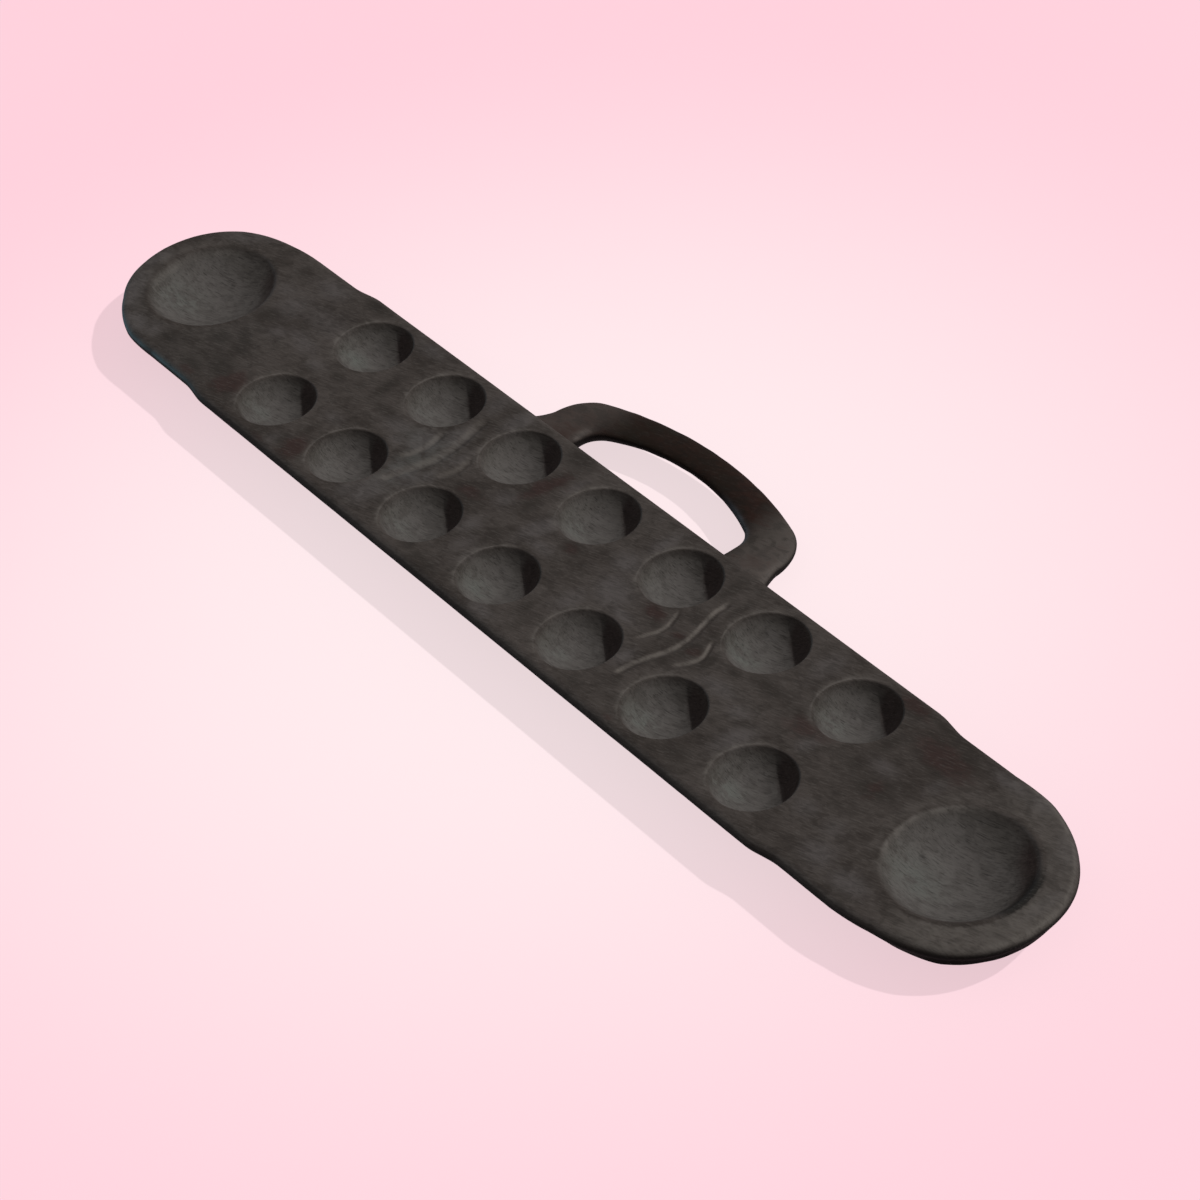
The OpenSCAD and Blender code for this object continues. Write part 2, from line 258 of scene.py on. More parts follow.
class Skin:
    """Gathers points and faces of a closed skin, and joins the points that meet."""

    def __init__(self):
        self.points, self.faces, self.count = [], [], 0

    def add(self, points, faces):
        self.points.append(points)
        self.faces.append(faces + self.count)
        self.count += len(points)

    def grid(self, points, flip=False, seamless=True):
        """A sheet through rows x columns of points. The columns close on themselves if seamless."""
        rows, columns = points.shape[:2]
        here = np.arange(rows * columns).reshape(rows, columns)
        right = np.roll(here, -1, 1) if seamless else here[:, 1:]
        here = here if seamless else here[:, :-1]
        quads = np.stack([here[:-1], right[:-1], right[1:], here[1:]], -1).reshape(-1, 4)
        self.add(points.reshape(-1, 3), quads[:, ::-1] if flip else quads)

    def fan(self, ring, centre):
        """Triangles from a ring of points to one centre."""
        n = len(ring)
        i = np.arange(n)
        self.add(np.vstack([ring, centre]), np.stack([i, (i + 1) % n, np.full(n, n)], 1))

    def joined(self):
        """Points with the doubles merged, and the faces that use them, each point once."""
        points = np.concatenate(self.points)
        keys = np.round(points / JOIN_WITHIN).astype(np.int64)
        _, first, place = np.unique(keys, axis=0, return_index=True, return_inverse=True)
        corners = [f for group in self.faces for f in place.ravel()[group].tolist()]
        faces = [list(dict.fromkeys(f)) for f in corners]
        return points[first], [f for f in faces if len(f) > 2]


def piece(name, points, faces, masks, material):
    """Makes an object of points, in mm, and faces, with a number per point for each mask."""
    mesh = bpy.data.meshes.new(name)
    mesh.from_pydata((points * MM).tolist(), [], faces)
    for mask, values in masks.items():
        layer = mesh.attributes.new(mask, "FLOAT", "POINT")
        layer.data.foreach_set("value", values.astype(np.float32))
    mesh.update()
    mesh.shade_smooth()
    mesh.set_sharp_from_angle(angle=math.radians(SHARP_FROM))
    mesh.materials.append(material)
    made = bpy.data.objects.new(name, mesh)
    bpy.context.scene.collection.objects.link(made)
    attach(made, "root")
    return made


def side_y(x):
    """Half width of the outline: the full width, less the shoulder that narrows it to the ends."""
    step = smooth_step((np.abs(x) - SHOULDER_X) / SHOULDER_RUN + 0.5)
    return HALF_W + (END_W / 2 - HALF_W) * step


def outline(inset):
    """Ring round the plank, counter-clockwise: full ellipses at the ends and shouldered sides."""
    a = np.radians(np.linspace(-90, 90, END_POINTS))
    end = np.stack([HALF_L - END_REACH + (END_REACH - inset) * round_power(np.cos(a), END_FULL),
                    (END_W / 2 - inset) * round_power(np.sin(a), END_FULL)], 1)
    x = np.linspace(HALF_L - END_REACH, END_REACH - HALF_L, SIDE_POINTS)[1:-1]
    half = np.concatenate([end, np.stack([x, side_y(x) - inset], 1)])
    return np.concatenate([half, -half])


def inside(p, inset):
    """Which points lie within the outline drawn in by inset."""
    along = np.maximum(np.abs(p[:, 0]) - (HALF_L - END_REACH), 0) / (END_REACH - inset)
    across = np.abs(p[:, 1]) / (side_y(p[:, 0]) - inset)
    return along ** END_FULL + across ** END_FULL < 1


def edge_profile():
    """Inset and height from the top face to the underside: nose arc, straight flank, bilge arc."""
    nose = np.radians(np.linspace(90, -NOSE_A, NOSE_STEPS))
    down = np.linspace(0, 1, FLANK_STEPS)[1:-1]
    bilge = np.radians(np.linspace(FLANK_SLOPE, 0, BILGE_STEPS))
    return np.concatenate([
        np.stack([EDGE_R * (1 - np.cos(nose)), BOARD_T - EDGE_R + EDGE_R * np.sin(nose)], 1),
        np.stack([NOSE_IN + (BILGE_IN - NOSE_IN) * down, NOSE_Z + (BILGE_Z - NOSE_Z) * down], 1),
        np.stack([BASE_IN - BILGE_R * np.sin(bilge), BILGE_R * (1 - np.cos(bilge))], 1)])


def bowl_places():
    """Centre x, y and the form of each bowl: two rows of houses, then the two heads."""
    houses = [(HOUSES_OFF + (i - (HOUSES - 1) / 2) * PITCH, row * ROW_GAP / 2, HOUSE)
              for row in (-1, 1) for i in range(HOUSES)]
    return houses + [(-HEAD_X, 0, HEAD), (HEAD_X, 0, HEAD)]


def ball_radius(mouth, depth, rim):
    """Radius of the ball that reaches the depth and touches the rim's arc."""
    return (mouth**2 + depth**2 - 2 * rim * depth) / (2 * depth)


def bowl_profile(form, inner, rim_steps):
    """Radius and height from the level margin over the rim's arc and down towards the pole."""
    mouth, depth, rim = form
    ball = ball_radius(mouth, depth, rim)
    centre = ball - depth
    meet = math.atan2(mouth, rim + centre)
    over = np.linspace(0, meet, rim_steps)
    fall = meet * (1 - np.linspace(0, 1, inner)[1:-1] ** 0.9)
    rim_line = np.stack([mouth - rim * np.sin(over), rim * np.cos(over) - rim], 1)
    ball_line = np.stack([ball * np.sin(fall), centre - ball * np.cos(fall)], 1)
    return np.concatenate([[[mouth + BOWL_MARGIN, 0]], rim_line, ball_line])


def bowl(skin, x, y, form, seed):
    """A carved hollow: the profile turned about its centre, with a mouth and a depth cut by hand.

    The radius draws in by up to 1.2 percent with the angle, and the depth by up to 3 percent.
    """
    spokes, inner, rim_steps = BOWL_STEPS[form]
    profile = bowl_profile(form, inner, rim_steps)
    rng = np.random.default_rng(seed)
    turn = 2 * math.pi * np.arange(spokes) / spokes
    wander = np.sin(2 * turn + rng.uniform(0, 6)) + 0.6 * np.sin(3 * turn + rng.uniform(0, 6))
    draw = 1 - 0.006 * (1 + wander / 1.6)
    held = smooth_step((profile[:, 0] - form[0]) / BOWL_MARGIN)
    radius = profile[:, :1] * (held[:, None] + (1 - held[:, None]) * draw)
    height = BOARD_T + profile[:, 1] * rng.uniform(0.97, 1)
    ring = np.stack([x + radius * np.cos(turn), y + radius * np.sin(turn),
                     np.repeat(height[:, None], spokes, 1)], -1)
    skin.grid(ring)
    skin.fan(ring[-1], [x, y, BOARD_T - form[1] * 0.985])
    return ring[0, :, :2]


def stroke_line(y, x_end, bow, y_mid, bump):
    """x of a stroke's bottom line at each y: its middle bows out towards +x by a squared cosine."""
    return x_end + bow * np.cos(np.clip((y - y_mid) / bump, -1, 1) * math.pi / 2) ** 2


def stroke_depth_at(p):
    """Depth of the incised strokes and the painted highlight on their lit wall at each point of the
    top.

    A stroke runs along y and wavers by up to 0.25 mm. Its walls rise from the bottom line as
    squared cosines, each over its own width, and it comes out of the wood over 6 mm at its ends.
    """
    depth, worn = np.zeros(len(p)), np.zeros(len(p))
    for x_end, bow, y_mid, half, bump, lit, other, deep, highlight_strength in STROKES:
        from_end = (1 - np.abs((p[:, 1] - y_mid) / half)) * half
        u = p[:, 0] - stroke_line(p[:, 1], x_end, bow, y_mid, bump)
        u = u + 0.25 * unevenness(p[:, 1:2], 9, int(abs(x_end)))
        wall = np.where(u < 0, -u / lit, u / other)
        across = np.cos(np.clip(wall, 0, 1) * math.pi / 2) ** 2
        depth = np.maximum(depth, deep * across * smooth_step(from_end / 6))
        # The lit wall, which faces the key lamp, gets a painted highlight that fades out near the
        # ends
        lit_wall = band(u, -0.46 * lit, 0.44 * lit)
        worn = np.maximum(worn, highlight_strength * lit_wall * smooth_step(from_end / 5))
    return depth, worn


def near_stroke(p, reach):
    """Which points lie within reach of a stroke's bottom line, on either side of its walls."""
    found = np.zeros(len(p), bool)
    for x_end, bow, y_mid, half, bump, lit, other, _, _ in STROKES:
        v = (p[:, 1] - y_mid) / half
        u = p[:, 0] - stroke_line(p[:, 1], x_end, bow, y_mid, bump)
        found |= (u > -lit - reach) & (u < other + reach) & (np.abs(v) < 1 + reach / half)
    return found


def lattice(step):
    """Staggered rows of points over the whole plank, step apart."""
    x = np.arange(-HALF_L, HALF_L, step)
    y = np.arange(-HALF_W, HALF_W, step * 0.866)
    p = np.stack(np.meshgrid(x, y), -1)
    p[1::2, :, 0] += step / 2
    return p.reshape(-1, 2)


def fill(skin, rings, inner, z, keep, flip=False):
    """Level triangles between closed rings of points and through inner points, where keep holds."""
    points = np.concatenate(rings + [inner])
    edges, start = [], 0
    for ring in rings:
        i = np.arange(len(ring))
        edges += np.stack([start + i, start + (i + 1) % len(ring)], 1).tolist()
        start += len(ring)
    made = delaunay_2d_cdt(points.tolist(), edges, [], 1, 1e-7)
    flat = points[[given[0] for given in made[3]]]
    faces = np.array(made[2])
    faces = faces[keep(flat[faces].mean(1))]
    skin.add(np.column_stack([flat, np.full(len(flat), z)]), faces[:, ::-1] if flip else faces)


def by_hand(p):
    """Moves the plank's points as hand tools leave them.

    The sides wander inwards and the flank keeps the flats of a drawknife, within half a
    millimetre. The top sinks in long soft waves, the underside is a little hollow, and the bowls
    and the flank keep faint tool marks. The rounded ends leave their even curve by up to 2.2 mm,
    away from the heads' mouths, and the right end's flank is fuller by up to 4.6 mm.
    """
    p = p.copy()
    # Sides and flank
    spine = np.clip(p[:, 0], END_REACH - HALF_L, HALF_L - END_REACH)
    inward = np.stack([spine - p[:, 0], -p[:, 1]], 1)
    inward /= np.maximum(np.linalg.norm(inward, axis=1, keepdims=True), 1e-6)
    wander = 0.5 + 0.5 * unevenness(p[:, :1], 90, 4)
    flats = 0.5 + 0.5 * unevenness(p * [1, 1, 2.5], 17, 5)
    outer = smooth_step((np.abs(p[:, 1]) - 30) / 30)
    low = smooth_step((NOSE_Z + 2 - p[:, 2]) / 4) * smooth_step(p[:, 2] / 1.5)
    p[:, :2] += inward * (0.15 * wander * outer + 0.45 * flats * low)[:, None]

    # Top and underside
    top = smooth_step((p[:, 2] - BOARD_T + 7) / 7)
    waves = 0.09 * unevenness(p[:, :2], 60, 6) + 0.06 * unevenness(p[:, :2], 24, 7)
    p[:, 2] -= top * (0.15 + waves)
    under = p[:, 2] < 0.01
    p[:, 2] += under * 0.25 * np.maximum(unevenness(p[:, :2], 40, 8), 0)

    # Rounded ends, by the turn round each end's middle
    past_end = np.abs(p[:, 0]) - HALF_L + END_REACH
    turn = np.degrees(np.arctan2(p[:, 1] / END_W * 2, past_end / END_REACH))
    right = p[:, 0] > 0
    at_left, at_right = np.interp(turn, END_TURNS, END_LEFT), np.interp(turn, END_TURNS, END_RIGHT)
    cut = np.where(right, at_right, at_left)
    clear = smooth_step((np.hypot(np.abs(p[:, 0]) - HEAD_X, p[:, 1]) - HEAD[0] - 3) / 12)
    level = smooth_step((NOSE_Z + 1 - p[:, 2]) / 4) * smooth_step((p[:, 2] - 2) / 8)
    cut = cut * clear + right * level * np.interp(turn, END_TURNS, FULL_RIGHT)
    p[:, :2] -= inward * (cut * (past_end > 0))[:, None]

    # Tool marks below the rim
    below = smooth_step((BOARD_T - 2 - p[:, 2]) / 4) * (p[:, 2] > 5)
    p[:, 2] += below * 0.1 * unevenness(p * [1, 1.4, 1], 9, 9)
    return p


def patches(p, rows):
    """The strongest of several soft turned ellipses at each point."""
    x, y, length, width, turn, strength = np.array(rows, float).T
    dx, dy = p[:, :1] - x, p[:, 1:2] - y
    c, s = np.cos(np.radians(turn)), np.sin(np.radians(turn))
    away = ((dx * c + dy * s) / length) ** 2 + ((dy * c - dx * s) / width) ** 2
    return (strength * np.exp(-away)).max(1)


def facing(off, azimuth, half, soft):
    """1 where the way off lies within half degrees of an azimuth, falling to 0 over soft more."""
    a = math.radians(azimuth)
    along = off @ [math.cos(a), math.sin(a)] / np.maximum(np.linalg.norm(off, axis=1), 1e-6)
    away = np.degrees(np.arccos(np.clip(along, -1, 1)))
    return smooth_step((half + soft - away) / soft)


def bowl_masks(p):
    """Which points lie within a bowl, and the numbers for the bowls' finish.

    A point goes with the bowl whose middle is nearest in mouth radii. That distance is its share,
    and off is the way there. It lies within if it is also above the bowl's ball, so that the
    flank and the underside stay out.
    """
    centres = np.array([b[:2] for b in bowl_places()])
    forms = np.array([b[2] for b in bowl_places()])
    away = np.linalg.norm(p[:, None, :2] - centres[None], axis=2) / forms[:, 0]
    which, share = away.argmin(1), away.min(1)
    mouth, deep, rim_r = forms[which].T
    off = (p[:, :2] - centres[which]) / mouth[:, None]
    big = mouth == HEAD[0]
    left_head = big & (p[:, 0] < 0)

    ball = ball_radius(mouth, deep, rim_r)
    wall = ball - deep - np.sqrt(np.maximum(ball**2 - (share * mouth) ** 2, 0))
    slack = 1.5
    above = p[:, 2] > BOARD_T - slack + np.minimum(wall, 0)
    within = (share < 1.02) & above

    # The painted highlight on the mouth's lit left side, which lies inside the wide rim of a head,
    # and its halo
    rim_at = np.where(left_head, 0.9, np.where(big, 0.935, 1.01))
    rim = band(share, rim_at, np.where(big, 0.028, 0.021))
    rim = np.maximum(rim, 0.25 * band(share, 1.08, 0.07))
    rim_side = np.where(big, facing(off, 168, 26, 40), facing(off, 184, 30, 60))

    # Painted shade on the left, front left and back walls, which are a little duller than the rest,
    # where light is painted
    left = smooth_step((-off[:, 0] - 0.4) / 0.4)
    front_left = smooth_step((-0.7 * off[:, 0] - 0.7 * off[:, 1] - 0.6) / 0.3)
    back = smooth_step((off[:, 1] - 0.4) / 0.3)
    dull = np.where(big, 0.25, 0.45) * left + 0.45 * front_left + 0.4 * back

    # Painted shadow: where the way to the key lamp leaves the mouth, the rim's shadow is painted on
    # the right wall
    to_lamp = off + ((BOARD_T - p[:, 2]) / mouth)[:, None] * KEY_LEAN
    to_lamp = np.linalg.norm(to_lamp, axis=1)
    painted_shadow = np.where(big, smooth_step((to_lamp - 0.86) / 0.09) * smooth_step((off[:, 0] - 0.1) / 0.3),
                   0.86 * smooth_step((to_lamp - 0.95) / 0.05)
                   * smooth_step((off @ [0.97, 0.26] + 0.02) / 0.18))

    # The cool painted highlight lies front left of the middle, and the right head's right wall gets
    # painted shade
    cool = np.array(COOL_HIGHLIGHT)[which] * np.exp(-(((off - [-0.4, -0.36]) / [0.34, 0.3]) ** 2).sum(1))
    shade = facing(off, 12, 14, 22) * smooth_step((share - 0.76) / 0.12)
    return within, {
        "hollow": within * smooth_step((1 - share) / 0.16),
        "rim": rim * rim_side * above,
        "painted_light": within * (1 - np.clip(dull, 0, 1)),
        "painted_shadow": within * painted_shadow * np.where(left_head, 0.75, 1),
        "cool": cool,
        "shade": 0.8 * (big & ~left_head & within) * shade,
    }


def plank_masks(p, worn):
    """Numbers for the plank's finish: its bowls, the painted highlights on the strokes and the
    edge, and the stain's places.

    Depth is counted down from the top. The edge has a painted highlight round the right tip and a
    little along the front, a painted bluish reflection low on the left end's front, and painted
    shade from there down.
    """
    within, masks = bowl_masks(p)
    beyond = ~within
    shade = masks.pop("shade")
    depth = BOARD_T - p[:, 2]
    end = np.array([HALF_L - END_REACH, 0])
    # Painted highlight on the edge's rounding: round the right tip, weaker towards its back, and a
    # little along the front
    nose = 0.95 * band(depth, 1.1, 1.7) * facing(p[:, :2] - end, -18, 20, 34)
    nose = np.maximum(nose, 0.7 * band(depth, 0.5, 0.6) * facing(p[:, :2] - end, 34, 30, 34))
    front = 0.3 * band(depth, 1.0, 0.5) * (p[:, 1] < 0)
    # Painted bluish reflection low on the left end and along the front near it
    reflection_tip = facing(p[:, :2] + end, 226, 26, 30) * (p[:, 0] < -end[0])
    reflection_side = smooth_step((-p[:, 0] - 245) / 70) * (p[:, 1] < 0) * (p[:, 0] > -end[0])
    masks.update({
        # Painted highlight on the strokes' lit walls
        "worn": worn,  # the strokes' lit walls
        "nose": beyond * np.maximum(nose * (p[:, 0] > end[0]), front),
        # cool: a painted highlight in the bowls, and a real cool stain tone on the land
        "cool": np.where(within, masks["cool"], patches(p, COOL_LAND)),
        "blue_reflection": beyond * band(depth, 2.5, 1.2) * np.maximum(reflection_tip, reflection_side),
        # Painted shade: near black on the flank under the edge and on the right head's right wall
        "low": np.where(beyond, smooth_step((depth - 2.1) / 2.2), shade),
        "red": patches(p, RED),
        "brown": patches(p, BROWN),
        "pale": patches(p, PALE),
    })
    return masks


def make_plank(material):
    """The whole plank as one closed skin: bowls, the land between them, the edge and the underside.

    The land's points lie finest on the strokes' walls, half as fine round them, and coarse
    elsewhere.
    """
    skin = Skin()
    bowls = bowl_places()
    first_seed = 20
    mouths = [bowl(skin, *place, first_seed + i) for i, place in enumerate(bowls)]

    def clear_of_bowls(p, room):
        away = [np.hypot(p[:, 0] - x, p[:, 1] - y) > form[0] + room for x, y, form in bowls]
        return np.all(away, axis=0)

    coarse, fine, half_way = lattice(LAND_STEP), lattice(STROKE_STEP), lattice(2 * STROKE_STEP)
    fine = fine[near_stroke(fine, 0.6)]
    half_way = half_way[near_stroke(half_way, 3) & ~near_stroke(half_way, 0.9)]
    coarse = coarse[~near_stroke(coarse, 3.4)]
    inner = np.concatenate([fine, half_way, coarse])
    inner = inner[inside(inner, EDGE_R + 0.6) & clear_of_bowls(inner, BOWL_MARGIN + 0.5)]
    fill(skin, [outline(EDGE_R)] + mouths, inner, BOARD_T, lambda p: clear_of_bowls(p, BOWL_MARGIN))

    rings = np.stack([np.insert(outline(inset), 2, z, axis=1) for inset, z in edge_profile()])
    skin.grid(rings, flip=True)
    under = lattice(UNDER_STEP)
    under = under[inside(under, BASE_IN + UNDER_STEP / 3)]
    fill(skin, [rings[-1][:, :2]], under, 0, lambda p: np.ones(len(p), bool), flip=True)

    points, faces = skin.joined()
    depth, worn = stroke_depth_at(points)
    on_top = points[:, 2] > BOARD_T - 0.01
    points[:, 2] -= depth * on_top
    masks = plank_masks(points, worn * on_top)
    plank = piece("board_carved", by_hand(points), faces, masks, material)
    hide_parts("board")


def corner(side, x, top, arch_r, r):
    """Centre and end angle of the corner arc that touches both the foot's side and the arch."""
    across = x - r - side * BOW_LEAN
    up = math.sqrt((arch_r - r) ** 2 - across**2)
    return np.array([x - r, top - arch_r + up]), math.atan2(up, across)


def arc(centre, r, angles):
    """Points of a circle at the given angles."""
    return centre + r * np.stack([np.cos(angles), np.sin(angles)], 1)


def bow_side(side, x, flare, top, arch_r, r):
    """Line of one side of half the bow, from under the plank round the corner to the arch's top.

    x runs from the middle out to the foot of the given side, -1 left or 1 right. The spread of
    the foot draws in to x as a power of the way from the plank to the corner.
    """
    centre, turn = corner(side, x, top, arch_r, r)
    y = np.linspace(HALF_W - FOOT_LAP, HALF_W, FOOT_POINTS)
    foot = np.stack([np.full(len(y), x + flare), y], 1)
    t = np.linspace(0, 1, NECK_POINTS)[1:]
    neck = np.stack([x + flare * (1 - t) ** FLARE_BEND, HALF_W + (centre[1] - HALF_W) * t], 1)
    around = arc(centre, r, np.linspace(0, turn, CORNER_POINTS)[1:])
    middle = np.array([side * BOW_LEAN, top - arch_r])
    arch = arc(middle, arch_r, np.linspace(turn, math.pi / 2, ARCH_POINTS)[1:])
    return np.concatenate([foot, neck, around, arch])


def whole_side(x, flare, top, arch_r, r):
    """Line of one side of the whole bow, from the right foot to the left."""
    right, left = (bow_side(side, x, flare, top, arch_r, r) * [side, 1] for side in (1, -1))
    return np.concatenate([right, left[-2::-1]])


def inner_side():
    """Line of the bow's inner side, from the right foot to the left."""
    return whole_side(OUTER_X - FOOT_W, 0, OUTER_TOP - BOW_W, INNER_ARCH_R, INNER_CORNER_R)


def make_handle(material):
    """The bow handle: a section, flat above and round below, carried between its two side lines.

    The section gets lower from the feet to the bow. The feet end on the plank's flank: each line
    of the skin runs on to the flank at its own height.
    """
    outer = whole_side(OUTER_X - FOOT_FLARE, FOOT_FLARE, OUTER_TOP, OUTER_ARCH_R, OUTER_CORNER_R)
    inner = inner_side()
    inner_top = OUTER_TOP - BOW_W
    near = smooth_step((inner_top - inner[:, 1]) / (inner_top - HALF_W - FOOT_RUN))
    under = BOW_T + (FOOT_T - BOW_T) * near - BOW_SHOULDER
    a = np.concatenate([np.linspace(0, math.pi, HALF_SECTION + 1)[:-1],
                        np.linspace(math.pi, 2 * math.pi, HALF_SECTION + 1)[:-1]])
    above = np.arange(len(a)) < HALF_SECTION
    full = np.where(above, TOP_FULL, UNDER_FULL)
    across = (1 + round_power(np.cos(a), full)) / 2
    rise = np.where(above[None], BOW_SHOULDER, under[:, None]) * round_power(np.sin(a), full)
    z = BOW_Z - BOW_SHOULDER + rise
    xy = inner[:, None] + (outer - inner)[:, None] * across[None, :, None]
    rings = scribe(np.concatenate([xy, z[:, :, None]], 2))
    skin = Skin()
    skin.grid(rings, flip=True)
    for end in (0, -1):
        skin.grid(foot_end(rings[end]), flip=end == 0, seamless=False)
    points, faces = skin.joined()
    masks = bow_masks(points)
    bow = piece("handle_bow", bow_by_hand(points), faces, masks, material)
    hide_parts("handle")


def flank_y(z):
    """y of the back edge's face at each height: nose arc, straight flank and bilge arc."""
    nose = EDGE_R * (1 - np.sqrt(np.clip(1 - ((z - BOARD_T + EDGE_R) / EDGE_R) ** 2, 0, 1)))
    flank = NOSE_IN + (NOSE_Z - z) / math.tan(SLOPE)
    bilge = BASE_IN - np.sqrt(np.clip(BILGE_R**2 - (BILGE_R - z) ** 2, 0, None))
    return HALF_W - np.where(z > NOSE_Z, nose, np.where(z > BILGE_Z, flank, bilge))


def scribe(rings):
    """Draws the part of each foot that would run into the flank back to it, level by level."""
    seat = np.maximum(flank_y(rings[:, :, 2]) + GLUE_LINE, HALF_W - FOOT_LAP)
    y = rings[:, :, 1]
    start = HALF_W + 2
    share = np.clip((start - y) / (start - HALF_W + FOOT_LAP), 0, 1)
    y = np.where(y < start, start + (seat - start) * share, y)
    return np.concatenate([rings[:, :, :1], y[:, :, None], rings[:, :, 2:]], 2)


def foot_end(ring):
    """The scribed end of a foot: straight lines between points of equal place on its two sides."""
    i = np.arange(-HALF_SECTION // 2, HALF_SECTION // 2 + 1)
    one, other = ring[i], ring[(HALF_SECTION - i) % len(ring)]
    t = np.linspace(0, 1, CAP_POINTS)[None, :, None]
    return one[:, None] * (1 - t) + other[:, None] * t


def bow_by_hand(p):
    """Moves the bow's faces inwards by up to half a millimetre, as a knife leaves them.

    The feet's seat on the plank stays as it is.
    """
    p = p.copy()
    clear = smooth_step((p[:, 1] - HALF_W - 3) / 8)
    sink = 0.25 + 0.25 * unevenness(p * [1, 1, 2], 15, 31)
    p[:, 2] += clear * sink * np.where(p[:, 2] > BOW_Z - BOW_SHOULDER, -1, 1)
    return p


def bow_masks(p):
    """Numbers for the bow's finish: where it is dark, where it has painted highlights, the left,
    where it has painted shade low down, and where it has a painted bluish reflection.

    The painted highlights lie just under the upper face, and the painted bluish reflection under
    the inner side's edge, from the middle to the right foot.
    """
    x = p[:, 0]
    away = np.linalg.norm(p[:, None, :2] - inner_side()[None], axis=2).min(1)
    reflection_side = smooth_step((x - 24) / 34) * smooth_step((p[:, 1] - 82) / 8)
    return {
        "deep": 1 - smooth_step((np.abs(x) - 40) / 54),
        "worn": band(p[:, 2], BOW_Z - 1.3, 1.2) * patches(p, BOW_HIGHLIGHTS),
        "left": smooth_step(-x / 60),
        # Painted shade, near black, on the bow below its upper part
        "low": smooth_step((BOW_Z - 2.0 - p[:, 2]) / 1.8),
        # Painted bluish reflection under the inner side's edge
        "blue_reflection": band(away, 0, 2.2) * reflection_side * band(p[:, 2], BOW_Z - 3, 2.6),
    }


class Wire:
    """A number on its way through a finish. Arithmetic on it adds the maths nodes."""

    def __init__(self, finish, socket):
        self.finish, self.socket = finish, socket

    def __add__(self, other):
        return self.finish.maths("ADD", self, other)

    def __radd__(self, other):
        return self.finish.maths("ADD", other, self)

    def __sub__(self, other):
        return self.finish.maths("SUBTRACT", self, other)

    def __rsub__(self, other):
        return self.finish.maths("SUBTRACT", other, self)

    def __mul__(self, other):
        return self.finish.maths("MULTIPLY", self, other)

    def __rmul__(self, other):
        return self.finish.maths("MULTIPLY", other, self)


class Finish:
    """A material being made, fed through nodes."""

    def __init__(self, name):
        self.material = bpy.data.materials.new(name)
        self.material.use_nodes = True
        self.tree = self.material.node_tree
        self.tree.nodes.clear()
        self.place = self.node("ShaderNodeTexCoord", {}, {}, "Object")

    def node(self, kind, settings, sockets, output=0):
        """Adds a node: its type, its settings, then the values or wires of its sockets."""
        made = self.tree.nodes.new(kind)
        for key, value in settings.items():
            setattr(made, key, value)
        for key, value in sockets.items():
            if isinstance(value, Wire):
                self.tree.links.new(value.socket, made.inputs[key])
            else:
                made.inputs[key].default_value = value
        return Wire(self, made.outputs[output]) if len(made.outputs) else made

    def maths(self, operation, a, b):
        return self.node("ShaderNodeMath", {"operation": operation}, {0: a, 1: b})

    def pattern(self, size, turn=0, at=(0, 0, 0)):
        """Place on the piece in steps of size, in mm along x, y, z, turned in degrees about z."""
        return self.node("ShaderNodeMapping", {"vector_type": "TEXTURE"}, {
            "Vector": self.place, "Scale": [length * MM for length in size],
            "Rotation": (0, 0, math.radians(turn)), "Location": at})

    def noise(self, vector, detail, roughness, distortion=0):
        return self.node("ShaderNodeTexNoise", {}, {
            "Vector": vector, "Scale": 1, "Detail": detail,
            "Roughness": roughness, "Distortion": distortion}, "Fac")

    def between(self, value, low, high):
        """0 at low and 1 at high, with a soft passage. A low above high turns it round."""
        return self.node("ShaderNodeMapRange", {"interpolation_type": "SMOOTHSTEP"}, {
            "Value": value, "From Min": low, "From Max": high})

    def mask(self, name):
        return self.node("ShaderNodeAttribute", {"attribute_name": name}, {}, "Fac")

    def mix(self, share, a, b):
        """Colour a with b laid over it by share."""
        return self.node("ShaderNodeMix", {"data_type": "RGBA"}, {0: share, 6: a, 7: b}, 2)

    def layered(self, tone, layers):
        """A tone with further ones laid over it in turn, each by its own share."""
        for share, over in layers:
            tone = self.mix(share, tone, colour(over))
        return tone

    def surface(self, tone, roughness, height, relief, ior):
        """Closes the finish. The relief is in metres, for a height of 1."""
        normal = self.node("ShaderNodeBump", {}, {
            "Strength": 1.0, "Distance": relief, "Height": height})
        shader = self.node("ShaderNodeBsdfPrincipled", {}, {
            "Base Color": tone, "Roughness": roughness, "Normal": normal, "IOR": ior})
        self.node("ShaderNodeOutputMaterial", {}, {"Surface": shader})
        return self.material


def colour(tone):
    """A tone given as it looks, from 0 to 255, in the renderer's own linear numbers."""
    parts = [v / 255 for v in tone]
    return tuple(v / 12.92 if v <= 0.04045 else ((v + 0.055) / 1.055) ** 2.4 for v in parts) + (1,)


def grained(f):
    """The wood's own patterns, near the x axis: clouds, mottling, fine fibres and short hairs."""
    clouds = f.noise(f.pattern((55, 36, 36), 14), 3, 0.55, 0.6)
    mottle = f.noise(f.pattern((9, 6, 6), 16, (0.3, 0, 0)), 3, 0.6, 0.5)
    fibres = f.noise(f.pattern((6, 1.0, 1.2), 18, (0, 0.2, 0)), 3, 0.7, 0.3)
    hairs = f.noise(f.pattern((9, 0.5, 2.2), 16, (0, 0.4, 0)), 1, 0.5, 0.25)
    return clouds, mottle, fibres, hairs


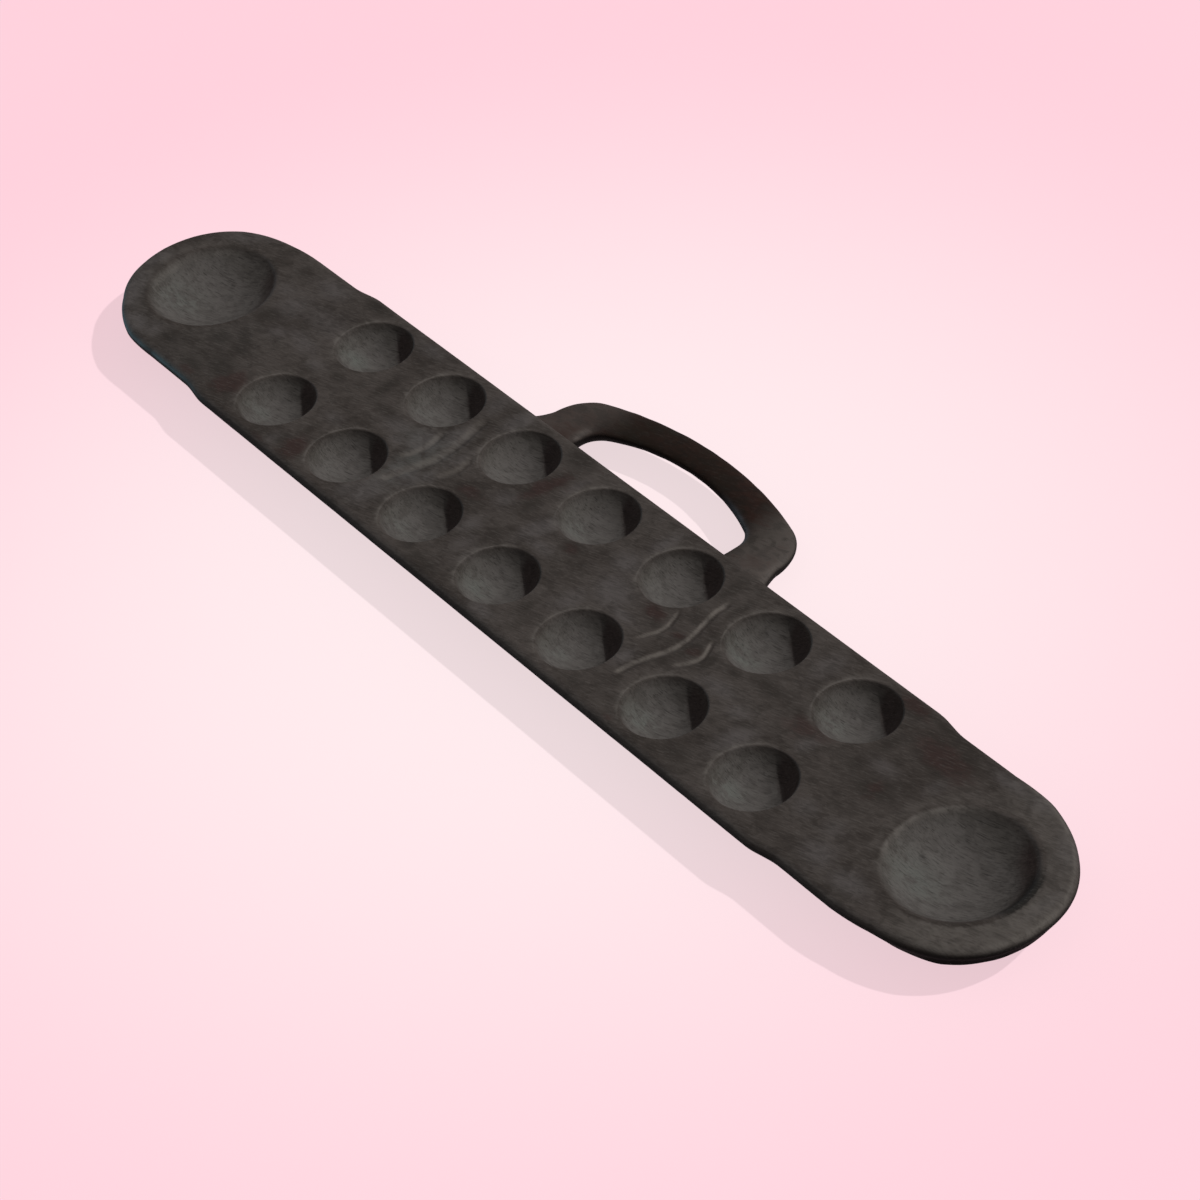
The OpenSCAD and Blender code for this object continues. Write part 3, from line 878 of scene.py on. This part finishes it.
def board_finish():
    """The plank's dark old stain, redder in places and paler in the bowls, with painted highlights
    on its edges, rims and strokes, and painted shade and shadow.
    """
    f = Finish("board_wood")
    clouds, mottle, fibres, hairs = grained(f)
    loose = 1.1 * (mottle - 0.5) + 0.6 * (clouds - 0.5)
    dark, light = (48, 43, 40), (62, 57, 54)
    pale, brown, red, cool = (74, 70, 69), (41, 37, 34), (49, 36, 34), (74, 78, 76)
    # The bowls' wall tones: painted shade on the dull walls, painted light on the rest, a cool
    # painted highlight and a painted shadow
    painted_shade_cut, painted_light_cut, cool_highlight_cut, painted_shadow = (66, 63, 59), (79, 76, 74), (82, 85, 81), (54, 46, 45)
    # Near-black painted shade under the edge, and a painted bluish reflection low on the left end
    painted_under_shade, blue_reflection_tone = (16, 17, 16), (88, 110, 117)
    # Painted highlights on the rims, the edge's rounding and the strokes' lit walls
    worn_rim, worn_nose, worn_stroke = (96, 92, 88), (90, 86, 82), (100, 95, 90)
    dark_mottle, hair = (30, 27, 25), (22, 20, 19)
    pale_fibre, dark_fibre = (94, 90, 87), (28, 25, 23)

    stain = f.mix(f.between(clouds + 0.3 * mottle, 0.48, 0.8), colour(dark), colour(light))
    stain = f.layered(stain, (
        (f.between(f.mask("pale") + 0.5 * loose, -0.1, 1.15) * 0.84, pale),
        (f.between(f.mask("brown") + loose, 0.05, 0.95) * 0.8, brown),
        (f.between(f.mask("red") + loose, 0.1, 0.9) * 0.8, red),
        (f.mask("cool") * f.between(mottle, 0.25, 0.6) * 0.5, cool),
    ))
    # The bowls' cut wood, with painted shade on the dull walls and painted light on the rest
    cut = f.mix(f.mask("painted_light") + 0.5 * (mottle - 0.5), colour(painted_shade_cut), colour(painted_light_cut))
    cut = f.layered(cut, (
        # Cool painted highlight on the bowls' lit side
        (f.mask("cool") * f.between(mottle, 0.3, 0.6) * 0.8, cool_highlight_cut),
        # Painted shadow where the rim hides the wall from the key lamp
        (f.mask("painted_shadow"), painted_shadow),
    ))
    tone = f.layered(f.mix(f.mask("hollow") * 0.95, stain, cut), (
        # Painted shade under the edge and on the right head's right wall
        (f.mask("low") * 0.95, painted_under_shade),
        # Painted bluish reflection low on the left end
        (f.mask("blue_reflection") * (0.65 + 0.8 * mottle), blue_reflection_tone),
        (f.mask("rim") * (0.25 + 0.6 * mottle), worn_rim),
        # Painted highlight on the edge's rounding
        (f.mask("nose") * (0.4 + 0.7 * mottle), worn_nose),
        # Painted highlight on the strokes' lit walls
        (f.mask("worn") * (0.3 + 0.5 * mottle), worn_stroke),
        (f.between(mottle, 0.56, 0.38) * 0.22, dark_mottle),
        (f.between(fibres, 0.5, 0.7) * 0.2, pale_fibre),
        (f.between(fibres, 0.5, 0.32) * 0.26, dark_fibre),
        (f.between(hairs, 0.59, 0.7) * (0.16 + 0.28 * f.mask("hollow")), hair),
    ))
    rough = 0.74 + 0.14 * fibres + 0.1 * mottle - 0.08 * f.mask("worn")
    height = 0.4 * fibres + 0.7 * mottle - 0.3 * f.between(hairs, 0.58, 0.72)
    return f.surface(tone, rough, height, 0.00013, 1.2)


def handle_finish():
    """The bow's redder stain, nearly black in its middle, with painted shade below, painted
    highlights at the feet and a painted bluish reflection.
    """
    f = Finish("handle_wood")
    clouds, mottle, fibres, hairs = grained(f)
    loose = 0.5 * (mottle - 0.5) + 0.4 * (clouds - 0.5)
    right_foot, left_foot, deep = (69, 64, 61), (64, 58, 55), (27, 18, 13)
    # The colour below is painted shade under the bow; the two pale ones after it are a painted
    # highlight and a painted bluish reflection
    red, green, below = (47, 27, 23), (34, 33, 25), (15, 12, 12)
    worn, blue_reflection = (100, 96, 92), (88, 98, 106)
    dark_mottle, pale_fibre, hair = (18, 15, 14), (72, 66, 62), (14, 12, 11)

    tone = f.layered(f.mix(f.mask("left"), colour(right_foot), colour(left_foot)), (
        (f.between(f.mask("deep") + loose, -0.05, 0.9), deep),
        (f.between(clouds + 0.5 * mottle, 0.68, 0.95) * 0.36, red),
        (f.between(clouds + 0.4 * mottle, 0.68, 0.5) * 0.3, green),
        (f.mask("low") * 0.92, below),
        (f.mask("worn") * (0.5 + 0.6 * mottle), worn),
        (f.mask("blue_reflection") * 0.85, blue_reflection),
        (f.between(mottle, 0.56, 0.38) * 0.3, dark_mottle),
        (f.between(fibres, 0.5, 0.7) * 0.14, pale_fibre),
        (f.between(hairs, 0.6, 0.72) * 0.35, hair),
    ))
    rough = 0.68 + 0.16 * fibres + 0.1 * mottle - 0.1 * f.mask("worn")
    height = 0.4 * fibres + 0.8 * mottle
    return f.surface(tone, rough, height, 0.00016, 1.2)


def dowel_finish():
    """Pale raw wood of the turned dowels, with fibres and rings along their length."""
    f = Finish("dowel_wood")
    fibres = f.noise(f.pattern((1.1, 16, 1.1)), 5, 0.6)
    rings = f.noise(f.pattern((3.8, 80, 3.8), at=(0.1, 0.2, 0.3)), 2, 0.5, 0.6)
    darker, paler, fibre = (196, 160, 110), (216, 184, 136), (158, 122, 80)
    tone = f.mix(f.between(rings, 0.35, 0.65), colour(darker), colour(paler))
    tone = f.mix(f.between(fibres, 0.5, 0.3) * 0.5, tone, colour(fibre))
    return f.surface(tone, 0.62 + 0.15 * fibres, fibres, 0.0002, 1.45)


def make_floor():
    """A pale pink floor, a little paler under the object than far away.

    What sees it sees its own tone with the object's faint shadow. To the light it is a dull floor,
    so that its colour isn't thrown back at the object.
    """
    f = Finish("pale_floor")
    near_tone, far_tone, dull_tone = (255, 236, 239), (255, 210, 222), (90, 88, 86)
    far = f.node("ShaderNodeVectorMath", {"operation": "LENGTH"}, {0: f.place}, "Value")
    tone = f.mix(f.between(far, 0.1, 0.62), colour(near_tone), colour(far_tone))
    lit = f.node("ShaderNodeBsdfDiffuse", {}, {"Color": tone})
    glow = f.node("ShaderNodeEmission", {}, {"Color": tone, "Strength": 1.0})
    seen = f.node("ShaderNodeMixShader", {}, {0: 0.78, 1: lit, 2: glow})
    dull = f.node("ShaderNodeBsdfDiffuse", {}, {"Color": colour(dull_tone)})
    path = f.node("ShaderNodeLightPath", {}, {}, "Is Camera Ray")
    mirror = Wire(f, path.socket.node.outputs["Is Glossy Ray"])
    through = Wire(f, path.socket.node.outputs["Is Transmission Ray"])
    shader = f.node("ShaderNodeMixShader", {}, {0: path + mirror + through, 1: dull, 2: seen})
    f.node("ShaderNodeOutputMaterial", {}, {"Surface": shader})
    mesh = bpy.data.meshes.new("floor")
    corners = [(x * FLOOR_REACH, y * FLOOR_REACH, FLOOR_LOW)
               for x, y in ((-1, -1), (1, -1), (1, 1), (-1, 1))]
    mesh.from_pydata(corners, [], [(0, 1, 2, 3)])
    mesh.materials.append(f.material)
    floor = bpy.data.objects.new("floor", mesh)
    bpy.context.scene.collection.objects.link(floor)


def stand(name, data, at, right, up, back):
    """Puts a lamp or camera at a place, with its own x, y and z along the given directions."""
    made = bpy.data.objects.new(name, data)
    bpy.context.scene.collection.objects.link(made)
    rows = np.column_stack([right, up, back, at])
    made.matrix_world = Matrix([*rows.tolist(), (0, 0, 0, 1)])
    return made


def sun(name, azimuth, elevation, energy, spread, tone):
    """A lamp with parallel light to the middle: azimuth turns from +X towards +Y, in degrees."""
    data = bpy.data.lights.new(name, "SUN")
    data.energy, data.angle, data.color = energy, math.radians(spread), tone
    a, e = math.radians(azimuth), math.radians(elevation)
    at = LAMP_DOME * np.array([math.cos(a) * math.cos(e), math.sin(a) * math.cos(e), math.sin(e)])
    back = at / np.linalg.norm(at)
    right = np.cross((0, 0, 1), back)
    right /= np.linalg.norm(right)
    stand(name, data, at, right, np.cross(back, right), back)


def light_scene():
    """One clear lamp from the back right, a cool low one from the left, and a pale even sky."""
    sun("key", KEY_AZIMUTH, KEY_ELEVATION, 3.14, 1.5, (1, 0.985, 0.965))
    sun("cool_side", 200, 1.5, 0.9, 2, (0.7, 0.88, 1))
    world = bpy.data.worlds.new("sky")
    world.use_nodes = True
    sky = world.node_tree.nodes["Background"]
    sky.inputs["Color"].default_value = colour((255, 250, 250))
    sky.inputs["Strength"].default_value = 0.3
    bpy.context.scene.world = world


def place_camera():
    """The camera at the photograph's own place and turn."""
    data = bpy.data.cameras.new("camera")
    data.lens, data.sensor_width = CAMERA_LENS, SENSOR
    data.clip_end = 5 * FLOOR_REACH
    down, forward = np.array(CAMERA_DOWN), np.array(CAMERA_FORWARD)
    made = stand("camera", data, CAMERA_AT, CAMERA_RIGHT, -down, -forward)
    bpy.context.scene.camera = made


place_camera()
light_scene()
make_floor()
make_plank(board_finish())
make_handle(handle_finish())
dowel_wood = dowel_finish()
for name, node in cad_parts.items():
    if name.startswith("dowel"):
        node.data.materials.clear()
        node.data.materials.append(dowel_wood)

scene = bpy.context.scene
scene.view_settings.view_transform = "Standard"
